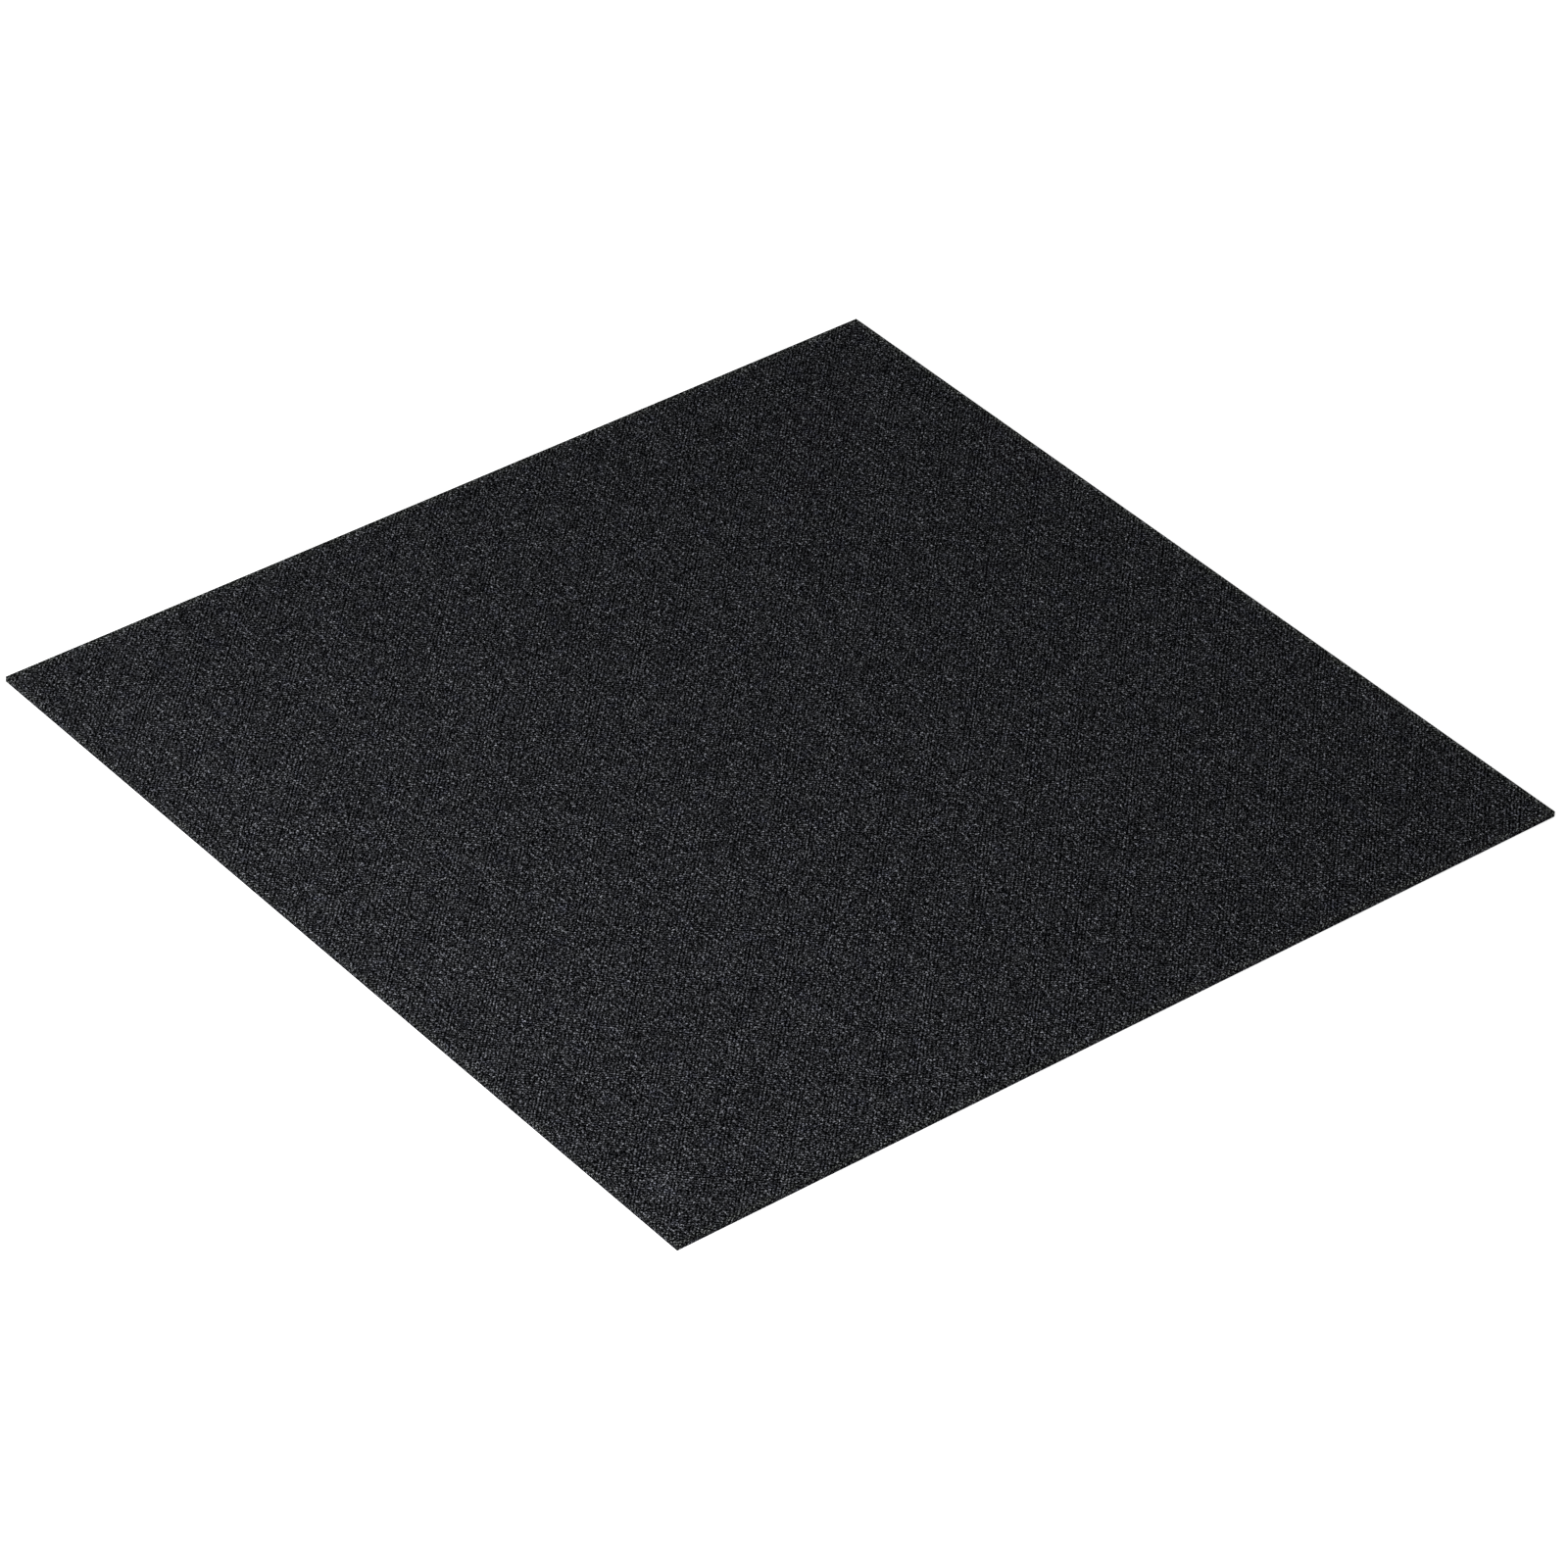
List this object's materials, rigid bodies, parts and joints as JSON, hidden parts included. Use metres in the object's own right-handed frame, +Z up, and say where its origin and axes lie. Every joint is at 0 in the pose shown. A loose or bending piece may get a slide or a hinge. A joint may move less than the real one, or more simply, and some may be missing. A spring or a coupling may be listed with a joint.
{
  "type": "needle-felt carpet tile",
  "caption": "Thin square of needle-punched charcoal felt that covers a floor edge to edge with others like it.",
  "frame": {"origin": "middle of the underside, on the floor", "axes": "+Z is up, out of the wear face; X runs along the needle rows and Y across them, each square to two of the cut edges"},
  "size_m": [0.5, 0.5, 0.0032],
  "materials": {
    "charcoal_felt": "matte"
  },
  "bodies": {
    "root": {"carpet_tile": "charcoal_felt"}
  },
  "joints": []
}
